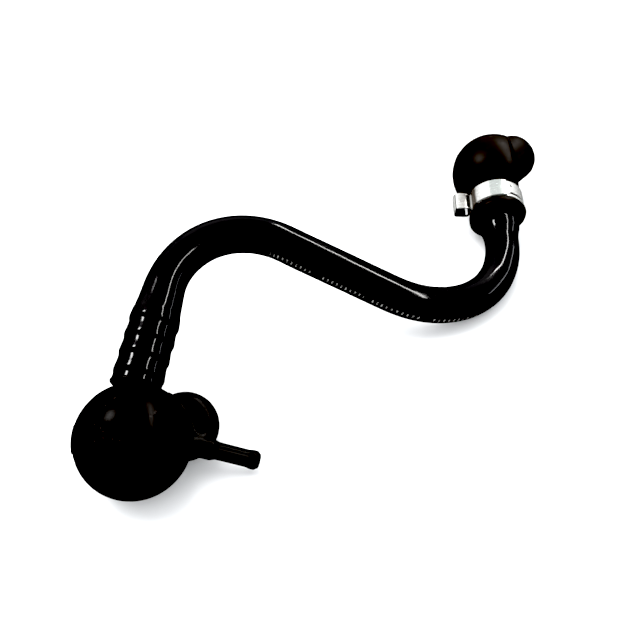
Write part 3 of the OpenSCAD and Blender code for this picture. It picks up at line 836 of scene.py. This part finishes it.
def body_sdf(pos):
    port = in_lobe(pos, PORT_OUT)
    across = spin(pos, LOBE_ANGLE)
    solid = carve(body_outside(pos), rod(pos, CAVITY_RADIUS, -14.6, 8, 0.9), 0.3)
    # a tube at the centre, joined by a duct to a cup round the port
    tube = turned(pos, CENTRE_TUBE, 0.15)
    duct = box(across, (1, -5.6, -15), (15.5, 5.6, -7), 0.5)
    cup = shared(rod(port, 9.8, -15, -3.2, 0.5), rod(pos, 17.6, -15, -3.2, 0.3))
    solid = join(solid, join(join(tube, duct, 0.8), cup, 0.8), 0.6)
    cut = either(
        rod(in_neck(pos), 5.0, 12, 60, 0.3),
        rod(pos, 8.65, -20, -15.4, 0.1),
        rod(pos, 5.4, -20, 4),
        box(across, (3, -4.4, -14.6), (14.4, 4.4, -7.9), 0.4),
        rod(port, 8.0, -20, -10.3),
        rod(port, 8.95, -12.2, -10.3, 0.1),
        rod(port, 7.1, -14, -4.9, 0.5),
        box(across, (12, -4.4, -10.3), (20, 4.4, -7.9), 0.4),
        rod(in_nipple(pos), 1.7, 22, 60),
    )
    solid = carve(solid, cut, 0.35)
    # room for the cover: above the flange, and under its skirt
    solid = carve(solid, rod(pos, 20.7, -0.98, 9), 0.2)
    gap = shared(np.abs(np.hypot(pos[:, 0], pos[:, 1]) - 20.65) - 0.42,
                 -3.75 - pos[:, 2], pos[:, 2] - 6)
    solid = carve(solid, gap, 0.2)
    solid = carve(solid, turned(port, PORT_LEAD_IN, 0.1), 0.3)
    return carve(solid, back_pockets(pos, port), 0.3)


def build_valve_body():
    return moulding("valve_body_moulding", body_sdf, (-21.5, -21.5, -17.3), (47.6, 56.2, 0.2),
                    0.4, VALVE_FRAME)


# ------------------------------------------------------------------ valve cover

LUG_SPANS = ((177, 205), (134, 160))        # degrees
LUG = [(19.0, -4.05), (20.95, -4.05), (20.95, -0.85), (20.5, -0.55), (19.0, -0.55)]
HOOK = [(19.8, -4.15), (20.9, -4.15), (20.9, -3.65), (20.0, -3.65)]
DOME_RADIUS, DOME_INSIDE = 20.8, 19.0
VENT_TURN, VENT_TILT = 60, math.radians(80)  # degrees about z, then up from flat


def sector(pos, start, end):
    """Distance, along a circle of radius 20, outside two angles in degrees."""
    middle, half = math.radians((start + end) / 2), math.radians((end - start) / 2)
    angle = np.arctan2(pos[:, 1], pos[:, 0]) - middle
    angle = np.abs((angle + math.pi) % (2 * math.pi) - math.pi)
    return (angle - half) * 20.0


def in_vent(pos):
    x, y, z = spin(pos, VENT_TURN).T
    cos, sin = math.cos(VENT_TILT), math.sin(VENT_TILT)
    return np.stack([cos * x - sin * z, y, sin * x + cos * z], 1)


def cover_sdf(pos):
    far = np.linalg.norm(pos, axis=1)
    vent = in_vent(pos)
    dome = meet(far - DOME_RADIUS, -0.2 - pos[:, 2], 0.3)
    solid = join(dome, rod(pos, 20.75, -3.6, 1.4, 0.35), 0.5)
    for span in LUG_SPANS:
        solid = join(solid, meet(turned(pos, LUG, 0.25), sector(pos, *span), 0.8), 0.25)
    # a low land round the vent
    solid = join(solid, rod(vent, 3.0, 18, 21.0, 0.25), 0.8)
    hollow = either(
        meet(far - DOME_INSIDE, 1.2 - pos[:, 2], 0.3),
        rod(pos, CAVITY_RADIUS, -0.3, 1.7),
        rod(pos, 20.25, -8, -0.2, 0.1),
    )
    solid = carve(solid, hollow, 0.25)
    for span in LUG_SPANS:
        solid = join(solid, meet(turned(pos, HOOK, 0.15), sector(pos, *span), 0.4), 0.2)
    solid = carve(solid, rod(vent, 1.6, 17, 24), 0.25)
    solid = carve(solid, rod(vent, 2.2, 20.8, 24, 0.1), 0.2)
    # notch over the nipple's boss
    return carve(solid, rod(in_nipple(pos), 4.3, 16, 26), 0.3)


def build_cover():
    return moulding("valve_cover_moulding", cover_sdf, (-22.6, -22.6, -5.2), (22.6, 22.6, 22.4),
                    0.34, VALVE_FRAME)


# ------------------------------------------------------------------ spring and diaphragm

SPRING_TURNS, WIRE, COIL = 5.5, 0.36, 3.95      # turns, wire radius, coil radius
SPRING_LOW, SPRING_HIGH = -13.55, -3.68         # its end faces
SPRING_STEPS, WIRE_SIDES = 340, 12


def build_spring():
    low, high = SPRING_LOW + WIRE, SPRING_HIGH - WIRE
    share = np.linspace(0, 1, SPRING_STEPS + 1)
    # the end coils rise more slowly
    rise = np.interp(share, [0, 0.16, 0.84, 1], [0, 0.075, 0.925, 1])
    rise = soften(rise, share * 100, 2.0)
    rise = (rise - rise[0]) / (rise[-1] - rise[0])
    turn = 2 * math.pi * SPRING_TURNS * share
    centre = np.stack([COIL * np.cos(turn), COIL * np.sin(turn), low + (high - low) * rise], 1)
    tangent = np.gradient(centre, axis=0)
    tangent /= np.linalg.norm(tangent, axis=1)[:, None]
    out = np.stack([np.cos(turn), np.sin(turn), np.zeros_like(turn)], 1)
    up = np.cross(tangent, out)
    angle = np.arange(WIRE_SIDES) / WIRE_SIDES * 2 * math.pi
    rings = centre[:, None] + WIRE * (out[:, None] * np.cos(angle)[None, :, None]
                                      + up[:, None] * np.sin(angle)[None, :, None])

    # ends drawn in slightly, as a cut wire's are
    def cap(end, way):
        middle = centre[end, None]
        return middle + way * tangent[end, None] * 0.06 + 0.8 * (rings[end] - middle)

    first, last = slice(0, 1), slice(-1, None)
    rings = np.concatenate([cap(first, -1), rings, cap(last, 1)])
    faces = []
    for i, j in product(range(len(rings) - 1), range(WIRE_SIDES)):
        here, there, k = i * WIRE_SIDES, (i + 1) * WIRE_SIDES, (j + 1) % WIRE_SIDES
        faces.append((there + j, there + k, here + k, here + j))
    end = (len(rings) - 1) * WIRE_SIDES
    faces.append(tuple(range(WIRE_SIDES)))
    faces.append(tuple(end + j for j in reversed(range(WIRE_SIDES))))
    return new_object("regulator_spring_wire", placed(rings.reshape(-1, 3), VALVE_FRAME), faces)


# (radius, height): the upper face from the bead inwards, then the lower face back
SHEET = [
    (20.0, -0.95), (20.05, -0.55), (19.9, -0.22), (18.6, -0.22), (16.7, -0.24),
    (16.25, 0.3), (15.85, 1.7), (15.3, 2.6), (14.35, 2.95), (13.4, 2.6),
    (12.85, 1.7), (12.45, 0.2), (12.0, -0.16), (11.3, -0.2), (9.2, -0.2),
    (9.2, -1.0), (11.5, -1.0), (12.6, -0.96), (13.15, -0.3), (13.45, 1.4),
    (13.85, 2.05), (14.35, 2.25), (14.85, 2.05), (15.25, 1.4), (15.6, -0.2),
    (16.2, -0.92), (18.5, -0.98),
]
SHEET_SIDES = 128
FLEX_OUT, FLEX_IN = 16.2, 12.2      # radii between which the sheet bends


def build_diaphragm():
    """Thin rubber sheet: bead between cover and body, one convolution, and an
    inner rim held between the plates. Also returns each vertex's radius."""
    profile = np.array(SHEET)
    for _ in range(2):
        after = np.roll(profile, -1, 0)
        profile = np.stack([profile * 0.8 + after * 0.2, profile * 0.2 + after * 0.8], 1)
        profile = profile.reshape(-1, 2)
    count = len(profile)
    points, faces = [], []
    for i in range(SHEET_SIDES):
        angle = 2 * math.pi * i / SHEET_SIDES
        here, there = i * count, (i + 1) % SHEET_SIDES * count
        for j, (radius, height) in enumerate(profile):
            k = (j + 1) % count
            points.append((radius * math.cos(angle), radius * math.sin(angle), height))
            faces.append((here + j, there + j, there + k, here + k))
    points = np.array(points)
    sheet = new_object("diaphragm_sheet", placed(points, VALVE_FRAME), faces)
    return sheet, np.hypot(points[:, 0], points[:, 1])


# ------------------------------------------------------------------ rubber elbow


def in_elbow(vector):
    return np.array([vector @ axis for axis in ELBOW_FRAME[1:]])


OUT_Z = in_elbow(OUT)
OUT_X = unit(np.cross(OUT_Z, [0.3, 1, 0.2]))
OUT_Y = np.cross(OUT_Z, OUT_X)
SEAM = unit(np.cross(OUT_Z, [0, 0, 1]))             # across the mould line
TURN = unit(OUT_Z + np.array([0, 0, 1.0]))          # to the inside of the turn
FLANK = in_elbow(unit([0.94, -0.02, 0.33]))         # across the flat on the ball's flank
SLANT = math.radians(7.5)                           # of the mouth's face
BALL_OUT, BALL_IN = 19.9, 16.3                      # radii
CUT_OUT, CUT_IN = 12.0, 8.2                         # ball centre to its two flats
LIP = [(0, 28.8), (11.6, 28.8), (11.6, 31.0), (0, 31.0)]
OUTLET_CHAMFER = [(0, 23.9), (8.7, 23.9), (9.6, 25.2), (0, 25.2)]


def elbow_sdf(pos):
    far = np.linalg.norm(pos, axis=1)
    # the ball is cut back on the inside of the turn and on its flank
    ball = meet(meet(far - BALL_OUT, pos @ TURN - CUT_OUT, 2.0), pos @ FLANK - CUT_OUT, 1.4)
    solid = join(ball, rod(pos, 12.2, 4, 33, 0.3), 1.2)
    from_out = np.stack([pos @ OUT_X, pos @ OUT_Y, pos @ OUT_Z], 1)
    along = from_out[:, 2]
    reach = np.hypot(np.hypot(from_out[:, 0], from_out[:, 1]), np.maximum(along - 18.6, 0))
    lobe = meet(shared(reach - 11.9, 3 - along), along - OUTLET_REACH, 1.2)
    solid = join(solid, turned(pos, LIP, 2.3), 0.5)
    face = (pos[:, 2] - 31.3) * math.cos(SLANT) - pos[:, 0] * math.sin(SLANT)
    solid = meet(solid, face, 2.6)
    solid = join(solid, lobe, 1.3)
    # mould line, standing a hair proud
    solid = solid - 0.13 * np.exp(-(pos @ SEAM / 0.33) ** 2) * (far > 14)
    hollow = meet(meet(far - BALL_IN, pos @ TURN - CUT_IN, 1.0), pos @ FLANK - CUT_IN, 1.0)
    hollow = either(hollow, rod(pos, 9.45, 10, 44),
                    rod(from_out, 8.6, 8, 44), rod(from_out, 9.2, 6, 14.1, 0.2))
    solid = carve(solid, hollow, 0.5)
    return carve(solid, turned(from_out, OUTLET_CHAMFER, 0.05), 0.3)


def build_elbow():
    return moulding("rubber_elbow_moulding", elbow_sdf, (-25.6, -21.2, -27.2), (21.2, 21.2, 34.6),
                    0.4, ELBOW_FRAME)


# ------------------------------------------------------------------ ear clamp

STRIP_WIDTH, HALF_THICK, STRIP_EDGE = 9.6, 0.34, 0.13
BAND, OVERLAP = 12.62, 13.34        # middle radii of the band and of its outer end
UV_RADIUS = 12.6
# one side of the ear, (x, y), from the band to the middle of its top
HALF_EAR = np.array([
    (12.6, -2.3), (13.0, -1.75), (13.5, -1.7), (13.95, -2.3), (14.6, -2.95), (15.6, -3.2),
    (17.2, -3.3), (19.2, -3.2), (20.35, -2.7), (20.85, -1.6), (20.95, -0.6)])
# radius, half depth, z, half width, first and last degree, mm per degree
SLOT = (12.6, 1, 7.5, 0.72, -167, -109, 0.22)
WINDOW = (12.6, 1, 2.5, 0.7, -115.5, -111, 0.22)
TONGUE = (13.2, 0.3, 7.3, 1.1, -107.5, -101.5, 0.23)
PRESSED_HOOK = (13.2, 0.3, 2.5, 0.45, -111.5, -106, 0.23)


def chaikin(points):
    """An open line with its corners cut three times."""
    for _ in range(3):
        here, after = points[:-1], points[1:]
        cut = np.stack([here * 0.75 + after * 0.25, here * 0.25 + after * 0.75], 1)
        points = np.concatenate([points[:1], cut.reshape(-1, 2), points[-1:]])
    return points


def eased_arc(radius_1, radius_2, start, end, count):
    """An arc between two angles in degrees, easing from one radius to the other."""
    share = np.linspace(0, 1, count)
    angle = np.radians(start + (end - start) * share)
    radius = radius_1 + (radius_2 - radius_1) * (share * share * (3 - 2 * share))
    return np.stack([radius * np.cos(angle), radius * np.sin(angle)], 1)


# Middle lines of the strip, seen along the clamp's axis: the outer end that
# drops to the band, and the ear.
OUTER_END = np.concatenate([eased_arc(OVERLAP, OVERLAP, -102, -26, 34),
                            eased_arc(OVERLAP, BAND, -25, -13, 8)])
EAR = chaikin(np.concatenate([OUTER_END[-1:], HALF_EAR, HALF_EAR[::-1] * [1, -1],
                              eased_arc(BAND, BAND, 13, 13.5, 2)[:1]]))


def path_distance(x, y, path):
    nearest = np.full(x.shape, 1e9)
    for (from_x, from_y), (to_x, to_y) in zip(path[:-1], path[1:]):
        edge_x, edge_y = to_x - from_x, to_y - from_y
        share = (x - from_x) * edge_x + (y - from_y) * edge_y
        share = np.clip(share / (edge_x * edge_x + edge_y * edge_y + 1e-12), 0, 1)
        off_x, off_y = x - from_x - edge_x * share, y - from_y - edge_y * share
        nearest = np.minimum(nearest, off_x ** 2 + off_y ** 2)
    return np.sqrt(nearest)


def clamp_sdf(pos):
    x, y, z = pos.T
    far = np.hypot(x, y)
    angle = np.degrees(np.arctan2(y, x))

    def strip(from_middle):
        return rounded(from_middle - HALF_THICK, np.abs(z - STRIP_WIDTH / 2) - STRIP_WIDTH / 2,
                       STRIP_EDGE)

    def patch(radius, depth, middle, half_width, first, last, per_degree):
        return shared(np.abs(far - radius) - depth, np.abs(z - middle) - half_width,
                      np.maximum(angle - last, first - angle) * per_degree)

    # the band is open at the ear
    opening = np.maximum(13.4 - np.abs(angle), 0) * 0.22
    solid = strip(np.maximum(np.abs(far - BAND), opening))
    # long slot beside the strip's outer end, and a narrow window
    solid = carve(solid, patch(*SLOT), 0.2)
    solid = carve(solid, patch(*WINDOW), 0.2)
    upper = strip(path_distance(x, y, OUTER_END))
    solid = either(solid, meet(upper, (-101 - angle) * 0.23, 0.3))
    # the outer end narrows to a tongue that points into the slot
    solid = join(solid, patch(*TONGUE), 0.25)
    # a small hook at the window's edge
    solid = join(solid, patch(*PRESSED_HOOK), 0.3)
    solid = join(solid, strip(path_distance(x, y, EAR)), 0.12)
    # the pliers leave a shallow dent on each side of the ear
    for side in (-1, 1):
        dent = np.sqrt((x - 13.7) ** 2 + (y - side * 3.6) ** 2) - 1.5
        solid = carve(solid, np.maximum(dent, np.abs(z - 4.8) - 3.9), 0.3)
    return solid


def build_clamp():
    points, quads = surface_net(clamp_sdf, (-14.2, -14.2, -0.6), (22.1, 14.2, 10.2),
                                0.19)
    clamp = new_object("ear_clamp_strip", placed(points, CLAMP_FRAME), quads)
    mesh = clamp.data
    x, y, z = points.T
    # UV: metres round the band, wrapping at the ear, and metres across it
    around = np.arctan2(-y, -x) * UV_RADIUS * MM
    corners = np.zeros(len(mesh.loops), int)
    mesh.loops.foreach_get("vertex_index", corners)
    around = around[corners].reshape(-1, 4)
    whole = 2 * math.pi * UV_RADIUS * MM
    around = around - np.round((around - around[:, :1]) / whole) * whole
    set_uv(mesh, np.stack([around.ravel(), z[corners] * MM], 1))
    # 1 inside the pinched ear, 0 elsewhere: where the clamp's colour gets painted shade
    deep = (np.clip((3.05 - np.abs(y)) / 0.12, 0, 1) * np.clip((20.75 - x) / 0.12, 0, 1)
            * np.clip((x - 12.9) / 0.3, 0, 1))
    mark = mesh.attributes.new("ear_inside", "FLOAT", "POINT")
    mark.data.foreach_set("value", deep.astype(np.float32))
    return clamp


# ------------------------------------------------------------------ build


def install(piece, material, replaced):
    piece.data.materials.append(material)
    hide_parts(replaced)


pipe, print_angle = build_pipe()
install(pipe, pipe_material(print_angle), "bent_pipe")
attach(pipe, ROOT)

body_plastic = moulded(
    "valve_plastic", dark=rgb(0.0020, 0.0018, 0.0018), light=rgb(0.0050, 0.0046, 0.0044),
    rough=(0.26, 0.36), grain=3200, grain_depth=0.00002, grain_strength=0.5, specular=0.065)
body = build_valve_body()
install(body, body_plastic, "valve_body")
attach(body, ROOT)

cover_plastic = moulded(
    "cover_plastic", dark=rgb(0.0022, 0.0018, 0.0017), light=rgb(0.0056, 0.0046, 0.0043),
    rough=(0.24, 0.34), grain=3400, grain_depth=0.00002, grain_strength=0.45, specular=0.05)
cover = build_cover()
install(cover, cover_plastic, "valve_cover")
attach(cover, ROOT)

elbow_rubber = moulded(
    "elbow_rubber", dark=rgb(0.0036, 0.0025, 0.0018), light=rgb(0.0082, 0.0056, 0.0040),
    rough=(0.30, 0.42), grain=1900, grain_depth=0.00003, grain_strength=0.55, sheen=0.02)
elbow = build_elbow()
install(elbow, elbow_rubber, "rubber_elbow")
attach(elbow, ROOT)

clamp_steel = strip_steel("clamp_steel", base=(0.87, 0.87, 0.84), lines=(90, 5200, 1),
                          source="UV", rough=(0.16, 0.3), metal=0.68)
clamp = build_clamp()
install(clamp, clamp_steel, "ear_clamp")
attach(clamp, ROOT)

spring_steel = strip_steel("spring_steel", base=(0.5, 0.5, 0.51), lines=(1500, 1500, 1500),
                           source="Object", rough=(0.2, 0.36))
spring = build_spring()
install(spring, spring_steel, "regulator_spring")
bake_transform(spring)

sheet_rubber = moulded(
    "diaphragm_rubber", dark=rgb(0.012), light=rgb(0.024, 0.023, 0.022),
    rough=(0.5, 0.66), grain=2400, grain_depth=0.00002, grain_strength=0.5, sheen=0.05)
sheet, sheet_radius = build_diaphragm()
install(sheet, sheet_rubber, "diaphragm")
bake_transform(sheet)
# the sheet bends between its outer bead and its inner rim; a share that follows the radius is worked out here,
# but nothing uses it
share = np.clip((FLEX_OUT - sheet_radius) / (FLEX_OUT - FLEX_IN), 0, 1)
share = (share * share * (3 - 2 * share)).astype(np.float32)

# pieces that keep their own meshes
seal = moulded(
    "seal_rubber", dark=rgb(0.13, 0.042, 0.018), light=rgb(0.2, 0.07, 0.032),
    rough=(0.35, 0.5), grain=2600, grain_depth=0.00001, grain_strength=0.3, sheen=0.05)
plate = strip_steel("plate_steel", base=(0.6, 0.6, 0.61), lines=(2600, 240, 1500),
                    source="Object", rough=(0.25, 0.42))
pad = moulded("pad_rubber", dark=rgb(0.014), light=rgb(0.026), rough=(0.5, 0.65),
              grain=2300, grain_depth=0.00002, grain_strength=0.5)
insert = moulded("insert_plastic", dark=rgb(0.02), light=rgb(0.034), rough=(0.36, 0.5),
                 grain=2600, grain_depth=0.00002, grain_strength=0.4)
looks = {
    "vent_plug": bronze(), "diaphragm_plate": plate, "lower_plate": plate,
    "stem_push_nut": plate, "seat_pad": pad, "back_plate": body_plastic,
    "outlet_o_ring": seal, "spigot_o_ring": seal, "nipple_restrictor": brass(),
    "pipe_insert": insert,
}
for name, material in looks.items():
    piece = kit["nodes"][name]
    if not piece.material_slots:
        piece.data.materials.append(material)
    for slot in piece.material_slots:
        slot.material = material

# ------------------------------------------------------------------ stage
# Lengths here are in metres.

FLOOR_HALF = 3.0
AIM = (0, 0, 0.02)      # what every lamp points at
scene = bpy.context.scene


def build_floor():
    """Pale paper, hidden from reflections."""
    mesh = bpy.data.meshes.new("floor")
    corners = [(x * FLOOR_HALF, y * FLOOR_HALF, 0) for x, y in ((-1, -1), (1, -1), (1, 1), (-1, 1))]
    mesh.from_pydata(corners, [], [(0, 1, 2, 3)])
    floor = bpy.data.objects.new("floor", mesh)
    scene.collection.objects.link(floor)
    mat = Material("floor_paper", Roughness=0.85, Specular_IOR_Level=0.2)
    cloud = mat.noise(30, detail=3, rough=0.5)
    mat.colour(mat.mix(mat.remap(cloud, span=(0.3, 0.7)),
                       rgb(0.83, 0.835, 0.84), rgb(0.86, 0.865, 0.87)))
    mesh.materials.append(mat.data)
    floor.visible_glossy = False
    floor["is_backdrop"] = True


def area(name, place, size, power, along, colour=(1, 1, 1), glossy=True, diffuse=True):
    """A rectangular lamp, its first side laid along the given direction."""
    light = bpy.data.lights.new(name, "AREA")
    light.shape = "RECTANGLE"
    light.size, light.size_y = size
    light.energy = power
    light.color = colour
    lamp = bpy.data.objects.new(name, light)
    z = (Vector(place) - Vector(AIM)).normalized()
    x = Vector(along)
    x = (x - z * x.dot(z)).normalized()
    lamp.rotation_euler = Matrix((x, z.cross(x), z)).transposed().to_euler()
    lamp.location = place
    lamp.visible_glossy = glossy
    lamp.visible_diffuse = diffuse
    scene.collection.objects.link(lamp)


def strip_lamp(name, start, end, width, radiance, colour=(1, 1, 1)):
    """A long lamp that only shows in reflections."""
    start, end = Vector(start), Vector(end)
    length = (end - start).length
    area(name, tuple((start + end) / 2), (length, width), radiance * math.pi * length * width,
         along=tuple(end - start), colour=colour, diffuse=False)


def build_world():
    """A pale room; in reflections it is pale above and dark towards the horizon."""
    world = bpy.data.worlds.new("studio")
    scene.world = world
    world.use_nodes = True
    nodes = Nodes(world.node_tree)
    background = nodes.tree.nodes["Background"]
    light_path = nodes.node("ShaderNodeLightPath")
    coords = nodes.node("ShaderNodeTexCoord")
    split = nodes.node("ShaderNodeSeparateXYZ")
    nodes.link(coords.outputs["Generated"], split.inputs[0])
    mirrored = nodes.remap(split.outputs[2], span=(0.02, 0.5), to=(0.015, 0.75))
    direct = 1.8
    strength = nodes.mix(light_path.outputs["Is Glossy Ray"], direct, mirrored, kind="Float")
    nodes.link(strength, background.inputs["Strength"])
    background.inputs["Color"].default_value = (0.97, 0.985, 1.0, 1)


def build_camera():
    data = bpy.data.cameras.new("camera")
    data.lens = 45.0
    data.sensor_width = 36.0
    data.clip_start = 0.01
    camera = bpy.data.objects.new("camera", data)
    camera.location = CAMERA
    camera.rotation_euler = (math.radians(46), 0, 0)
    scene.collection.objects.link(camera)
    scene.camera = camera


build_floor()
area("top_soft", (-0.42, 0.26, 0.98), size=(1.1, 1.1), power=20, along=(1, 0, 0), glossy=False)
strip_lamp("strip_right", (0.62, -0.32, 0.70), (0.55, 0.95, 1.0), width=0.05, radiance=54,
           colour=(1, 0.99, 0.97))
strip_lamp("strip_low", (0.92, 0.0, 0.24), (0.80, 0.48, 0.34), width=0.03, radiance=15,
           colour=(0.92, 0.96, 1))
strip_lamp("strip_left", (-0.57, 0.02, 0.70), (-0.54, 0.22, 0.78), width=0.13, radiance=54)
build_world()
build_camera()

view = scene.view_settings
view.view_transform = "Standard"
view.look = "None"
# deep blacks
view.use_curve_mapping = True
view.curve_mapping.black_level = (0.034, 0.035, 0.036)
view.curve_mapping.update()

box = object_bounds()
